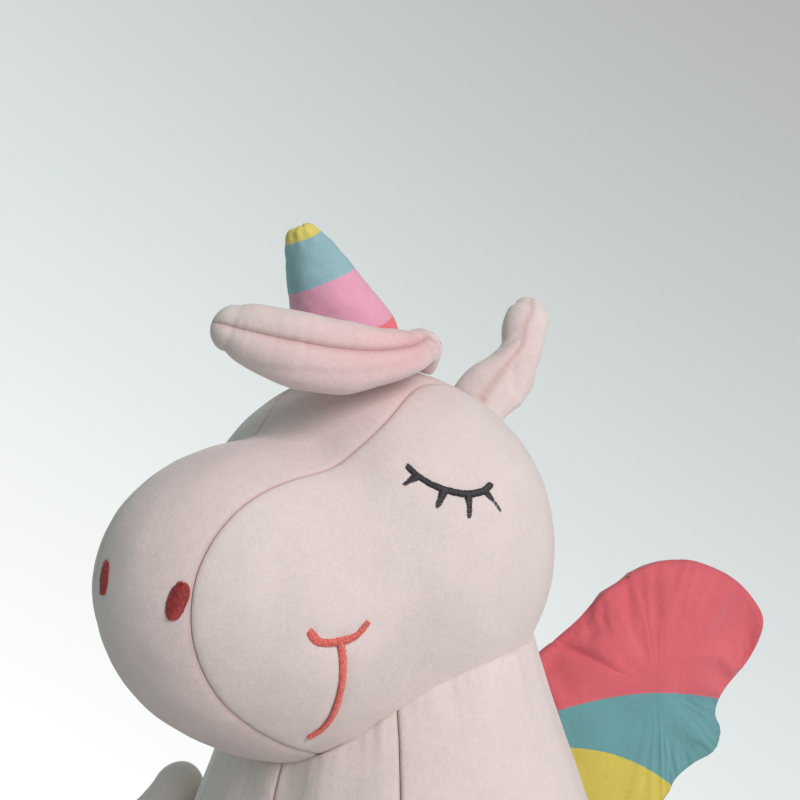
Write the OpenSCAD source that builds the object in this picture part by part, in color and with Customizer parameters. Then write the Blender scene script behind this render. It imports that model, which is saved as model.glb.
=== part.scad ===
// Plush unicorn sitting up, with a striped horn, two stuffed ears, two wings, four limbs and a tail.
// Millimetres. +Z up, the face looks to -Y, the unicorn's own left is +X.
// The origin is the middle of the flat seat. Every sewn panel, filling and patch of thread is a node.

/* [Body] */
// Radius of the opening that the neck leaves in the head
neck_r = 44; // [30:1:50]
// Thickness of the sewn plush
skin = 2; // [1:0.5:3]
// Half angle of each front panel, from the middle seam
belly_half = 37; // [25:1:50]

/* [Head] */
// Height of the middle of the head above the seat
head_z = 258; // [240:1:280]
// How far the head sits in front of the neck
head_fwd = 8; // [0:1:20]
// Nose lifted by this many degrees
head_lift = 12.8; // [0:0.1:20]
// Head leaning to its own left by this many degrees
head_lean = 12.7; // [0:0.1:20]
// Sideways radius of the back of the head
ball_r = 86; // [80:1:95]
// Half length of the muzzle
muzzle_len = 89; // [75:1:100]
// Half width of the muzzle
muzzle_wid = 57; // [45:1:70]
// Half height of the muzzle
muzzle_tall = 63; // [50:1:75]

/* [Horn] */
// Length of the horn
horn_len = 70; // [50:1:90]
// Radius of the horn where it is sewn on
horn_r = 28; // [20:1:32]

/* [Wings] */
// Greatest thickness of a padded wing
wing_thick = 19; // [10:1:26]
// Direction a wing points, back from sideways
wing_sweep = 45; // [20:1:60]

/* [Limbs] */
// Length of an arm from its shoulder pivot
arm_len = 92; // [70:1:110]
// Radius of an arm at the hoof
arm_r = 26; // [20:1:30]
// Length of a leg from its hip pivot
leg_len = 112; // [90:1:130]
// Radius of a leg at the hoof
leg_r = 37; // [30:1:42]

/* [Hidden] */
gap = 0.5;
// the filling of the head stays this much further in
head_slack = 3;
head_c = [0, -head_fwd, head_z];
neck_c = [0, 0, head_z - 62];
// how far the head turns and nods, with the gap that the body leaves for it
head_turn = 12;
head_nod = [-8, 5];
room = 1.2;
// the point inside the head that all its surface is seen from
star = [0, -30, 15];
ball_rad = [ball_r, ball_r, ball_r - 2];
muzzle_c = [0, -49, -38];
muzzle_rad = [muzzle_wid, muzzle_len, muzzle_tall];
blend = 7;
hoof_part = 0.74;
// cone of filling that carries the head
neck_low = 127;
neck_tall = 30;
neck_wide = 62;
neck_narrow = 52;
// colours
pale = "#f0dcd8";
pale_back = "#ead4d0";
forehead = "#f0d6d2";
pink = "#f2c8c6";
coral = "#e88c94";
wing_coral = "#dc7078";
teal = "#8cc4c8";
black = "#1c1a1c";
mouth_red = "#e0605c";
nose_red = "#b03a34";
filling_white = "#ffffff";

// ---------- closed surfaces from rows of points ----------
function unit(v) = v / norm(v);
function flat(a) = [for (r = a) each r];
function middle(r) = [for (k = [0:2]) let (c = [for (p = r) p[k]]) c * [for (p = r) 1] / len(r)];
function backwards(a) = [for (i = [len(a) - 1:-1:0]) a[i]];

// a stack of closed rings, each counter-clockwise seen from the far end; both ends are fanned shut
module skin_of(stack, turned = false) {
  rings = turned ? [for (r = stack) backwards(r)] : stack;
  n = len(rings[0]);
  m = len(rings);
  points = concat(flat(rings), [middle(rings[0]), middle(rings[m - 1])]);
  walls = [for (k = [0:m - 2]) for (i = [0:n - 1]) let (j = (i + 1) % n)
    each [[k * n + i, (k + 1) * n + i, k * n + j], [k * n + j, (k + 1) * n + i, (k + 1) * n + j]]];
  low = [for (i = [0:n - 1]) [m * n, i, (i + 1) % n]];
  high = [for (i = [0:n - 1]) [m * n + 1, (m - 1) * n + (i + 1) % n, (m - 1) * n + i]];
  polyhedron(points = points, faces = concat(walls, low, high));
}

// a sewn panel: two matching grids of rows, outer and inner, closed round the four edges
module panel_of(outer, inner) {
  m = len(outer);
  n = len(outer[0]);
  q = m * n;
  points = concat(flat(outer), flat(inner));
  face = [for (k = [0:m - 2]) for (i = [0:n - 2]) let (a = k * n + i, b = a + 1, c = a + n, d = c + 1)
    each [[a, c, b], [b, c, d], [q + a, q + b, q + c], [q + b, q + d, q + c]]];
  ends = [for (i = [0:n - 2]) let (a = i, b = i + 1, c = (m - 1) * n + i, d = c + 1)
    each [[a, b, q + a], [b, q + b, q + a], [c, q + c, d], [d, q + c, q + d]]];
  sides = [for (k = [0:m - 2]) let (a = k * n, b = a + n, c = a + n - 1, d = c + n)
    each [[a, q + a, b], [b, q + a, q + b], [c, d, q + c], [d, q + d, q + c]]];
  polyhedron(points = points, faces = concat(face, ends, sides));
}

// smooth value of column c of a table of stations at z
function look(t, z, c, i = 0) = i >= len(t) - 2 || z <= t[i + 1][0]
  ? hermite(t, z, c, i) : look(t, z, c, i + 1);
function slope(t, c, i) = let (a = max(i - 1, 0), b = min(i + 1, len(t) - 1))
  (t[b][c] - t[a][c]) / (t[b][0] - t[a][0]);
function hermite(t, z, c, i) = let (h = t[i + 1][0] - t[i][0], u = (z - t[i][0]) / h,
  s = u * u * (3 - 2 * u))
  t[i][c] * (1 - s) + t[i + 1][c] * s
  + h * (slope(t, c, i) * u * (1 - u) * (1 - u) - slope(t, c, i + 1) * u * u * (1 - u));

// ---------- body ----------
// height, half width, reach to the front, reach to the back
torso_table = [[0, 80, 76, 78], [8, 96, 90, 93], [30, 108, 100, 103], [60, 112, 102, 106],
  [95, 107, 97, 103], [131, 96, 84, 96], [158, 86, 74, 88], [180, 79, 68, 81],
  [205, 73, 66, 74], [230, 70, 64, 71]];
torso_rows = [0, 3, 8, 18, 34, 55, 80, 106, 130];
// the panels are cut straight up to the shoulder, and follow the head above it
shoulder = 130;
rim_top = 225;
rim_steps = 5;
function torso_at(z, a, t) = let (x = look(torso_table, z, 1) - t,
  y = look(torso_table, z, sin(a) < 0 ? 2 : 3) - t) [x * cos(a), y * sin(a), z];
// the height at which the body meets the head on this side, with the head in any of its poses
function meets(p) = max([for (q = [-head_turn, 0, head_turn]) for (n = [head_nod[0], 0, head_nod[1]])
  in_head(p, q, n) ? 1 : 0]) > 0;
function rim(a, lo = shoulder, hi = rim_top, n = 9) = n == 0 ? lo : let (m = (lo + hi) / 2)
  meets(torso_at(m, a, 1)) ? rim(a, lo, m, n - 1) : rim(a, m, hi, n - 1);
function torso_grid(a0, a1, n, t) = let (angles = [for (i = [0:n]) a0 + (a1 - a0) * i / n],
  tops = [for (a = angles) rim(a) - 0.6 * t])
  concat([for (z = torso_rows) [for (a = angles) torso_at(z, a, t)]],
    [for (k = [1:rim_steps]) [for (i = [0:n])
      torso_at(shoulder + (tops[i] - shoulder) * k / rim_steps, angles[i], t)]]);

module torso_panel(a0, a1, n) {
  seam = 0.15;
  panel_of(torso_grid(a0 + seam, a1 - seam, n, 0), torso_grid(a0 + seam, a1 - seam, n, skin));
}
module belly_left() color(pale) torso_panel(-90, -90 + belly_half, 5);
module belly_right() color(pale) torso_panel(-90 - belly_half, -90, 5);
module back_left() color(pale_back) torso_panel(-90 + belly_half, 90, 14);
module back_right() color(pale_back) torso_panel(90, 270 - belly_half, 14);
module seat_panel() color(pale_back)
  linear_extrude(height = skin)
    polygon([for (i = [0:35]) let (p = torso_at(0, i * 10, skin + 0.6)) [p.x, p.y]]);
module torso_stuffing() color(filling_white)
  skin_of([for (z = [skin + 0.6, 8, 18, 34, 55, 80, 106, 126])
    [for (i = [0:29]) torso_at(z, i * 12, skin + gap)]]);
module neck_stuffing() color(filling_white)
  translate([0, -head_fwd, neck_low]) cylinder(r1 = neck_wide, r2 = neck_narrow, h = neck_tall, $fn = 48);

// ---------- head ----------
// distance from the star point to the outside of an ellipsoid, along d
function out_of(d, c, a) = let (p = [d.x / a.x, d.y / a.y, d.z / a.z], q = [c.x / a.x, c.y / a.y, c.z / a.z],
  k = p * p, b = p * q) (b + sqrt(max(b * b - k * (q * q - 1), 0))) / k;
function head_r(d) = pow(pow(out_of(d, -star, ball_rad), blend)
  + pow(out_of(d, muzzle_c - star, muzzle_rad), blend), 1 / blend);
// t turns from the nose over the top, l leans out to the unicorn's left
function way(t, l) = [sin(l), -cos(l) * cos(t), cos(l) * sin(t)];
function on_head(d, lift = 0) = star + (head_r(d) + lift) * d;
function snap(p, lift = 0) = on_head(unit(p - star), lift);
function above(p, lift) = let (d = unit(p - star)) star + max(norm(p - star), head_r(d) + lift) * d;
// from the body's directions to the head's own frame
function head_frame(v) = let (x = v.x * cos(head_lean) - v.z * sin(head_lean),
  w = v.x * sin(head_lean) + v.z * cos(head_lean))
  [x, v.y * cos(head_lift) - w * sin(head_lift), v.y * sin(head_lift) + w * cos(head_lift)];
neck_l = head_frame(neck_c - head_c);
function in_opening(t, l) = norm(on_head(way(t, l)) - neck_l) < neck_r;
// is this point of the body inside the head, or nearly, when the head is turned and nodded?
function in_head(p, turn, nod) = let (v = p - head_c,
  x = v.x * cos(turn) + v.y * sin(turn), y0 = v.y * cos(turn) - v.x * sin(turn),
  y = y0 * cos(nod) + v.z * sin(nod), z = v.z * cos(nod) - y0 * sin(nod),
  e = head_frame([x, y, z]) - star) norm(e) < head_r(unit(e)) + room;
// half widths of the middle panel: it wanders to the left at the nose
function near_half(t) = 32 + 4 * cos(3 * (t - 35));
function far_half(t) = 31 - 14 * pow(max(cos(t + 15), 0), 2);
function seam_lean(t, g, l = 0, n = 5) = n == 0 ? l : seam_lean(t, g, asin(g / head_r(way(t, l))), n - 1);
function neck_lean(t, s, lo = 0, hi = 80, n = 9) = n == 0 ? hi :
  let (m = (lo + hi) / 2) in_opening(t, s * m)
    ? neck_lean(t, s, m, hi, n - 1) : neck_lean(t, s, lo, m, n - 1);
function neck_turn(l, out, into, n = 9) = n == 0 ? out :
  let (m = (out + into) / 2) in_opening(m, l) ? neck_turn(l, out, m, n - 1) : neck_turn(l, m, into, n - 1);
function panel_lean(t, s) = let (e = seam_lean(t, s > 0 ? near_half(t) : far_half(t)) + 0.1)
  in_opening(t, s * e) ? neck_lean(t, s, e) : e;
function side_ring(s, u, drop) = [for (i = [0:35]) let (t = s * i * 10, e = panel_lean(t, s))
  on_head(way(t, s * (e + (84 - e) * u)), -drop)];

module on_neck() translate(head_c) rotate([-head_lift, head_lean, 0]) children();
module head_side(s) {
  steps = [0, 0.12, 0.26, 0.4, 0.55, 0.7, 0.85, 1];
  inner = [for (u = backwards(steps)) side_ring(s, u, skin)];
  outer = [for (u = steps) side_ring(s, u, 0)];
  on_neck() skin_of(concat(inner, outer), true);
}
module head_side_left() color(pale) head_side(1);
module head_side_right() color(pale) head_side(-1);

module head_gusset() {
  rows = 36;
  cols = 6;
  seam = 0.1;
  function edge(t, k) = let (a = -seam_lean(t, far_half(t)) + seam, b = seam_lean(t, near_half(t)) - seam)
    a + (b - a) * k / cols;
  function grid(drop) = [for (k = [cols:-1:0]) let (t0 = neck_turn(edge(-90, k), -50, -120),
    t1 = neck_turn(edge(190, k), 170, 240))
    [for (i = [0:rows]) let (t = t0 + (t1 - t0) * i / rows) on_head(way(t, edge(t, k)), -drop)]];
  color(forehead) on_neck() panel_of(grid(0), grid(skin));
}

module head_stuffing() color(filling_white)
  on_neck() skin_of([for (l = [-82:8.2:82]) [for (i = [0:35]) let (d = way(i * 10, l))
    on_head(d, -skin - head_slack)]], true);

// ---------- thread ----------
thread = 0.7;
function side_of(p, s) = [s * p.x, p.y, p.z];
// one satin stroke laid on the head through points given in the head's frame
module stroke(path, w, s = 1) {
  n = len(path);
  lift = 0.8;
  rings = [for (i = [0:n - 1]) let (p = snap(path[i], lift), d = unit(p - star),
    a = snap(path[max(i - 1, 0)]), b = snap(path[min(i + 1, n - 1)]), e = unit(cross(unit(b - a), d)),
    h = (i == 0 || i == n - 1 ? 0.55 : 1) * w / 2)
    [for (q = [p - h * e, p + h * e, p + 0.8 * h * e + thread * d, p - 0.8 * h * e + thread * d])
      side_of(q, s)]];
  skin_of(rings, s > 0);
}
eye_arc = [[52, -64, 25], [56, -61, 22.5], [61, -57, 21], [66, -51, 21], [70, -44, 22.5], [73, -37, 26.5],
  [74, -33, 31]];
eye_lashes = [[[56, -62, 20.5], [54, -65, 17]], [[65, -53, 19.5], [65, -55, 12.5]],
  [[71, -43, 21], [73, -43, 13.5]], [[74, -35.5, 26], [77, -29, 21.5]]];
module eye(s) on_neck() {
  stroke(eye_arc, 2.2, s);
  for (l = eye_lashes) stroke([l[0], (l[0] + l[1]) / 2, l[1]], 2, s);
}
module eye_left() color(black) eye(1);
module eye_right() color(black) eye(-1);
mouth_tick = [[51, -88, -45], [53, -83, -48], [56, -76, -46.5], [58, -70, -42.5], [59, -67, -36]];
mouth_line = [[56, -73.5, -49], [56, -69, -54], [54.5, -64, -62], [50, -58, -71], [46, -56, -79],
  [42, -57, -84]];
module mouth(s) on_neck() {
  stroke(mouth_tick, 2.8, s);
  stroke(mouth_line, 2.8, s);
}
module mouth_left() color(mouth_red) mouth(1);
module mouth_right() color(mouth_red) mouth(-1);

// a raised oval of satin thread lying on the head
module oval(c, long_way, a, b) {
  d = unit(snap(c) - star);
  u = unit(long_way - (long_way * d) * d);
  v = cross(d, u);
  function ring(k, lift) = [for (i = [0:17]) snap(c + k * (a * cos(i * 20) * u + b * sin(i * 20) * v), lift)];
  skin_of([ring(1, 0.4), ring(1, 0.9), ring(0.75, 1.4), ring(0.3, 1.6)]);
}
module nostril_left() color(nose_red) on_neck() oval([25, -127.5, -49], [0.15, -0.1, 1], 6.6, 3.6);
module nostril_right() color(nose_red) on_neck() oval([-5.5, -136, -50], [-0.05, -0.1, 1], 6.6, 3.6);

// ---------- horn ----------
horn_base = [-2.3, -48.8, 67.8];
horn_way = unit([-2.7, -6.81, 6.81]);
horn_table = [[0, 0.84], [0.25, 0.88], [0.5, 0.71], [0.75, 0.52], [0.92, 0.37], [1, 0.28]];
function horn_ring(s, r, lift) = let (u = unit(cross(horn_way, [0, 0, 1])), v = cross(horn_way, u),
  c = horn_base + horn_way * s * horn_len)
  [for (i = [0:23]) above(c + r * (cos(i * 15) * u + sin(i * 15) * v), lift)];
function horn_rings(t, lift) = [for (k = [0:7]) let (s = k / 7)
  horn_ring(s * (1 - t / horn_len), look(horn_table, s, 1) * horn_r - t, lift + 3 * k)];
module horn_cover() color(teal)
  on_neck() skin_of(concat(backwards(horn_rings(1.6, 0.5)), horn_rings(0, 0.5)));
module horn_stuffing() color(filling_white) on_neck() skin_of(horn_rings(3.4, 3));

// ---------- ears ----------
// place, half width, half thickness, all in the head's frame; the flat side faces ear_face
ear_left_path = [[30, 11, 80], [30, 12, 90], [31, 18, 104], [31, 25, 117], [28, 29, 130], [26, 34, 141],
  [24, 36, 147]];
ear_right_path = [[8, -22, 87], [20, -37.5, 89], [33, -63, 75.2], [31, -79.5, 65.2], [25.7, -94, 58.8],
  [14.8, -109.4, 54.2], [3, -121.5, 52], [-2.3, -127, 51.5]];
// half width above the fold, half thickness, half width below the fold
ear_left_size = [[18, 8, 18], [18.3, 9, 15], [18, 10, 9.5], [13, 9, 9], [13.5, 8.5, 11], [12, 8, 11],
  [9, 6.5, 8]];
ear_right_size = [[9, 8, 9], [9, 6.5, 9], [9.5, 6.5, 10.5], [12.5, 9, 13], [14, 10, 17], [14, 11, 16.5],
  [13, 10, 12.5], [10, 8, 9]];
// how deep the fold along the front is, as a share of the ear's size
ear_left_fold = 0.04;
ear_right_fold = 0.2;
ear_face = [0.62, -0.78, -0.05];
ear_lift = 1.5;
ear_upright = 0.7;
function ear_ring(path, size, fold, i, t, a0, a1, n) = let (m = len(path),
  go = unit(path[min(i + 1, m - 1)] - path[max(i - 1, 0)]), u = unit(cross(go, ear_face)), f = cross(u, go))
  [for (k = [0:n]) let (a = a0 + (a1 - a0) * k / n, g = 1 - fold * exp(-pow((a > 180 ? a - 360 : a) / 20, 2)),
    p = path[i] + g * ((size[i][1] - t) * cos(a) * f + (size[i][sin(a) < 0 ? 2 : 0] - t) * sin(a) * u))
    i == 0 && go.z > ear_upright ? snap(p, ear_lift + t) : above(p, ear_lift + t)];
module ear_shell(path, size, fold, a0, a1) {
  m = len(path) - 1;
  on_neck() panel_of([for (i = [0:m]) ear_ring(path, size, fold, i, 0, a0, a1, 8)],
    [for (i = [0:m]) ear_ring(path, size, fold, i, 1.6, a0, a1, 8)]);
}
module ear_core(path, size, fold) on_neck()
  skin_of([for (i = [0:len(path) - 2]) ear_ring(path, size, fold, i, 2.6, 0, 345, 15)]);
module ear_left_front() color(pink) ear_shell(ear_left_path, ear_left_size, ear_left_fold, -89, 89);
module ear_left_back() color(pale) ear_shell(ear_left_path, ear_left_size, ear_left_fold, 91, 269);
module ear_left_padding() color(filling_white) ear_core(ear_left_path, ear_left_size, ear_left_fold);
module ear_right_front() color(pink) ear_shell(ear_right_path, ear_right_size, ear_right_fold, 181, 359);
module ear_right_back() color(pale) ear_shell(ear_right_path, ear_right_size, ear_right_fold, 1, 179);
module ear_right_padding() color(filling_white) ear_core(ear_right_path, ear_right_size, ear_right_fold);

// ---------- wings ----------
// outline of a wing: reach from the root, height above the seat
wing_line = [[2, 118], [1, 160], [5, 192], [18, 204], [34, 216], [52, 232], [78, 245], [101, 249],
  [118, 246], [135, 238], [150, 224], [153, 211], [142, 193], [124, 176], [117, 164], [119, 154],
  [114, 143], [101, 137], [90, 130], [82, 121],
  [68, 111], [48, 104], [25, 105]];
wing_mid = [76, 180];
wing_root = [24.5, 96.5, 0];
function wing_ring(s, h) = [for (p = wing_line) let (q = wing_mid + s * (p - wing_mid)) [q.x, h, q.y]];
function wing_dome(s, t) = (wing_thick / 2 - t) * pow(1 - pow(s, 2.6), 0.6);
function wing_side(k) = let (steps = [0.08, 0.35, 0.6, 0.8, 0.92, 1])
  concat([for (s = steps) wing_ring(s, k * (0.1 + wing_dome(s, 1.4)))],
    [for (s = backwards(steps)) wing_ring(s, k * (0.25 + 1.4 + wing_dome(s, 1.4)))]);
module on_back(s) multmatrix([[s * cos(wing_sweep), s * sin(wing_sweep), 0, s * wing_root.x],
  [sin(wing_sweep), -cos(wing_sweep), 0, wing_root.y], [0, 0, 1, 0], [0, 0, 0, 1]]) children();
module wing_half(s, k) on_back(s) skin_of(wing_side(k), k < 0);
module wing_core(s) on_back(s) {
  steps = [0.08, 0.35, 0.6, 0.78, 0.9];
  skin_of(concat([for (k = steps) wing_ring(k, wing_dome(k, 2.2))],
    [for (k = backwards(steps)) wing_ring(k, -wing_dome(k, 2.2))]), true);
}
module wing_left_front() color(wing_coral) wing_half(1, 1);
module wing_left_back() color(wing_coral) wing_half(1, -1);
module wing_left_padding() color(filling_white) wing_core(1);
module wing_right_front() color(wing_coral) wing_half(-1, 1);
module wing_right_back() color(wing_coral) wing_half(-1, -1);
module wing_right_padding() color(filling_white) wing_core(-1);

// ---------- limbs ----------
// every limb is turned round its own axis; the root is a ball round the pivot
function limb_r(z, len, r0, r1) = let (u = z / len) r0 + (r1 - r0) * u * u * (3 - 2 * u);
function limb_line(len, r0, r1, t, z0, z1, n) = [for (i = [0:n]) let (z = z0 + (z1 - z0) * i / n)
  [limb_r(z, len, r0, r1) - t, z]];
function root_line(r, t, n) = [for (i = [0:n]) let (a = 90 * i / n) [(r - t) * sin(a), -(r - t) * cos(a)]];
function end_line(len, r1, t, n) = let (b = 10) [for (i = [0:n]) let (a = 70 * i / n)
  [r1 - b + (b - t) * cos(a), len - b + (b - t) * sin(a)]];
module sleeve(len, r0, r1) {
  z1 = len * hoof_part - 0.15;
  rotate_extrude($fn = 48) polygon(concat(root_line(r0, 0, 8), limb_line(len, r0, r1, 0, 1, z1, 6),
    backwards(concat(root_line(r0, skin, 8), limb_line(len, r0, r1, skin, 1, z1, 6)))));
}
module hoof(len, r0, r1) {
  z0 = len * hoof_part + 0.15;
  z1 = len - 10;
  rotate_extrude($fn = 48) polygon(concat(limb_line(len, r0, r1, 0, z0, z1, 3), end_line(len, r1, 0, 5),
    backwards(concat(limb_line(len, r0, r1, skin, z0, z1, 3), end_line(len, r1, skin, 5)))));
}
module sole(len, r1) {
  edge = r1 - 10 + 10 * cos(70) - 0.2;
  translate([0, 0, len - 10 + 8 * sin(70) - 0.1]) cylinder(r = edge - skin, h = skin, $fn = 48);
}
module filling(len, r0, r1) {
  t = skin + gap;
  rotate_extrude($fn = 48) polygon(concat(root_line(r0, t, 8), limb_line(len, r0, r1, t, 1, len - 12, 6),
    [[r1 - 9, len - 6], [r1 - 14, len - 3.6], [0, len - 3.6]]));
}
// shoulder and hip pivots, and the way each limb points
arm_at = [97, -42, 138];
arm_way = [0.57, -0.19, -0.8];
arm_root = 12;
leg_at = [66, -114, 38.4];
leg_way = [0.34, -0.94, 0.0];
leg_root = 27;
module along(at, to, s) let (z = unit([s * to.x, to.y, to.z]), x = unit(cross([0, 0, 1], z)), y = cross(z, x))
  multmatrix([[x.x, y.x, z.x, s * at.x], [x.y, y.y, z.y, at.y], [x.z, y.z, z.z, at.z], [0, 0, 0, 1]])
    children();
module arm(s) along(arm_at, arm_way, s) children();
module leg(s) along(leg_at, leg_way, s) children();
module arm_left_sleeve() color(pale) arm(1) sleeve(arm_len, arm_root, arm_r);
module arm_left_hoof() color(coral) arm(1) hoof(arm_len, arm_root, arm_r);
module arm_left_sole() color(coral) arm(1) sole(arm_len, arm_r);
module arm_left_stuffing() color(filling_white) arm(1) filling(arm_len, arm_root, arm_r);
module arm_right_sleeve() color(pale) arm(-1) sleeve(arm_len, arm_root, arm_r);
module arm_right_hoof() color(coral) arm(-1) hoof(arm_len, arm_root, arm_r);
module arm_right_sole() color(coral) arm(-1) sole(arm_len, arm_r);
module arm_right_stuffing() color(filling_white) arm(-1) filling(arm_len, arm_root, arm_r);
module leg_left_sleeve() color(pale) leg(1) sleeve(leg_len, leg_root, leg_r);
module leg_left_hoof() color(coral) leg(1) hoof(leg_len, leg_root, leg_r);
module leg_left_sole() color(coral) leg(1) sole(leg_len, leg_r);
module leg_left_stuffing() color(filling_white) leg(1) filling(leg_len, leg_root, leg_r);
module leg_right_sleeve() color(pale) leg(-1) sleeve(leg_len, leg_root, leg_r);
module leg_right_hoof() color(coral) leg(-1) hoof(leg_len, leg_root, leg_r);
module leg_right_sole() color(coral) leg(-1) sole(leg_len, leg_r);
module leg_right_stuffing() color(filling_white) leg(-1) filling(leg_len, leg_root, leg_r);

// ---------- tail ----------
tail_path = [[0, 109, 52], [0, 113.5, 53], [0, 121, 55], [0, 134, 55], [0, 148, 50], [0, 160, 42],
  [0, 169, 33], [0, 174, 27]];
tail_size = [6, 11, 15, 17.5, 19, 18.5, 15, 7];
function tail_ring(i, t) = let (m = len(tail_path),
  go = unit(tail_path[min(i + 1, m - 1)] - tail_path[max(i - 1, 0)]), u = [1, 0, 0], v = cross(go, u))
  [for (k = [0:17]) tail_path[i] + (tail_size[i] - t) * (cos(k * 20) * u + sin(k * 20) * v)];
module tail_cover() color(teal)
  skin_of(concat([for (i = [6:-1:1]) tail_ring(i, skin)], [for (i = [0:7]) tail_ring(i, 0)]));
module tail_stuffing() color(filling_white) skin_of([for (i = [2:5]) tail_ring(i, skin + gap)]);

torso_stuffing();
seat_panel();
belly_left();
belly_right();
back_left();
back_right();
neck_stuffing();
head_stuffing();
head_gusset();
head_side_left();
head_side_right();
eye_left();
eye_right();
mouth_left();
mouth_right();
nostril_left();
nostril_right();
horn_cover();
horn_stuffing();
ear_left_front();
ear_left_back();
ear_left_padding();
ear_right_front();
ear_right_back();
ear_right_padding();
wing_left_front();
wing_left_back();
wing_left_padding();
wing_right_front();
wing_right_back();
wing_right_padding();
arm_left_sleeve();
arm_left_hoof();
arm_left_sole();
arm_left_stuffing();
arm_right_sleeve();
arm_right_hoof();
arm_right_sole();
arm_right_stuffing();
leg_left_sleeve();
leg_left_hoof();
leg_left_sole();
leg_left_stuffing();
leg_right_sleeve();
leg_right_hoof();
leg_right_sole();
leg_right_stuffing();
tail_cover();
tail_stuffing();
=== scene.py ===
import math

import bpy
import numpy as np
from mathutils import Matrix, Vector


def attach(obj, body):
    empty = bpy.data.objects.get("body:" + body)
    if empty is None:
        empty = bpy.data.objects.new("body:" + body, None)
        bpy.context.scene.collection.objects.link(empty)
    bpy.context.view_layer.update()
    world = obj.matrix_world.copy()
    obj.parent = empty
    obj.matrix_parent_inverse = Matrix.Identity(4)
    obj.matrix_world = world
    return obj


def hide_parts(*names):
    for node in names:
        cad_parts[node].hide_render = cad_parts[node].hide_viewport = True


# The looks of a sitting plush unicorn. Shapes are worked out in millimetres, in the CAD's frame,
# and turned into metres where a mesh is made. Angles are in degrees.
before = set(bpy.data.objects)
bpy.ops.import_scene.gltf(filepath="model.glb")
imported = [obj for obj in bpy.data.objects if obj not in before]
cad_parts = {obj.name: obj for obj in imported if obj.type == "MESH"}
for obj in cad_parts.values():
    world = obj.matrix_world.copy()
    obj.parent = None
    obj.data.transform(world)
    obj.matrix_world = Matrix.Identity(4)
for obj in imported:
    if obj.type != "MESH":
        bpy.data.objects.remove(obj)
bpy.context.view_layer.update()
MM = 0.001


# ---------- small mathematics ----------
def sind(a):
    return np.sin(np.radians(a))


def cosd(a):
    return np.cos(np.radians(a))


def asind(x):
    return np.degrees(np.arcsin(np.clip(x, -1, 1)))


def length(v):
    return np.linalg.norm(v, axis=-1)


def unit(v):
    v = np.asarray(v, float)
    return v / np.linalg.norm(v, axis=-1, keepdims=True)


def lumps(p, size, seed):
    """Smooth uneven field, about -1 to 1, whose bumps are this many millimetres apart."""
    rng = np.random.RandomState(seed)
    total = np.zeros(p.shape[:-1])
    count = 14
    for _ in range(count):
        way_to = unit(rng.normal(size=3)) * 2 * np.pi / size * rng.uniform(0.6, 1.4)
        total += np.sin(p @ way_to + rng.uniform(0, 2 * np.pi))
    return total / math.sqrt(count) * 0.8


def ripple(x, size, seed):
    """The same along one running length."""
    rng = np.random.RandomState(seed)
    total = np.zeros(np.shape(x))
    for _ in range(6):
        total += np.sin(x * 2 * np.pi / (size * rng.uniform(0.6, 1.6)) + rng.uniform(0, 2 * np.pi))
    return total / 2.5


def smooth_rows(rows, count):
    """Catmull-Rom curve through rows of numbers, resampled to count rows."""
    rows = np.asarray(rows, float)
    u = np.linspace(0, len(rows) - 1, count)
    i = np.clip(u.astype(int), 0, len(rows) - 2)
    f = (u - i)[:, None]
    before = rows[np.clip(i - 1, 0, None)]
    here, there = rows[i], rows[i + 1]
    after = rows[np.clip(i + 2, None, len(rows) - 1)]
    return 0.5 * (2 * here + (there - before) * f + (2 * before - 5 * here + 4 * there - after) * f ** 2
                  + (3 * here - before - 3 * there + after) * f ** 3)


def near_line(p, line):
    """Distance of each point from a line through points."""
    best = np.full(p.shape[:-1], 1e9)
    line = np.asarray(line, float)
    for a, b in zip(line[:-1], line[1:]):
        ab = b - a
        f = np.clip(((p - a) @ ab) / max(ab @ ab, 1e-9), 0, 1)
        best = np.minimum(best, length(p - a - f[..., None] * ab))
    return best


# ---------- making meshes ----------
def make(name, points, faces, attributes=None, material=None, outward_from=None):
    mesh = bpy.data.meshes.new(name)
    points = np.asarray(points, float).reshape(-1, 3)
    mesh.from_pydata((points * MM).tolist(), [], faces)
    mesh.update()
    mesh.polygons.foreach_set("use_smooth", [True] * len(mesh.polygons))
    for key, values in (attributes or {}).items():
        layer = mesh.attributes.new(key, "FLOAT", "POINT")
        layer.data.foreach_set("value", np.asarray(values, np.float32).ravel())
    piece = bpy.data.objects.new(name, mesh)
    bpy.context.scene.collection.objects.link(piece)
    if outward_from is not None:
        centre = np.asarray(outward_from) * MM
        total = sum(f.area * float(np.dot(f.normal, np.array(f.center) - centre)) for f in mesh.polygons)
        if total < 0:
            mesh.flip_normals()
    if material:
        mesh.materials.append(material)
    return piece


def grid_faces(rows, cols, wrap=False, start=0):
    """Quads of a grid of points in rows; wrap joins the last column to the first."""
    faces = []
    last = cols if wrap else cols - 1
    for r in range(rows - 1):
        for c in range(last):
            d = (c + 1) % cols
            faces.append((start + r * cols + c, start + r * cols + d,
                          start + (r + 1) * cols + d, start + (r + 1) * cols + c))
    return faces


def capped(rows):
    """Points and faces of closed rings, each end fanned shut."""
    m, n, _ = rows.shape
    points = np.concatenate([rows.reshape(-1, 3), rows[0].mean(0)[None], rows[-1].mean(0)[None]])
    faces = grid_faces(m, n, True)
    for c in range(n):
        d = (c + 1) % n
        faces.append((m * n, d, c))
        faces.append((m * n + 1, (m - 1) * n + c, (m - 1) * n + d))
    return points, faces


def dress(piece, body, nodes):
    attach(piece, body)
    if nodes:
        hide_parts(*nodes)
    return piece


# ---------- materials ----------
def new_material(name):
    material = bpy.data.materials.new(name)
    material.use_nodes = True
    return material, material.node_tree.nodes, material.node_tree.links


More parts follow.
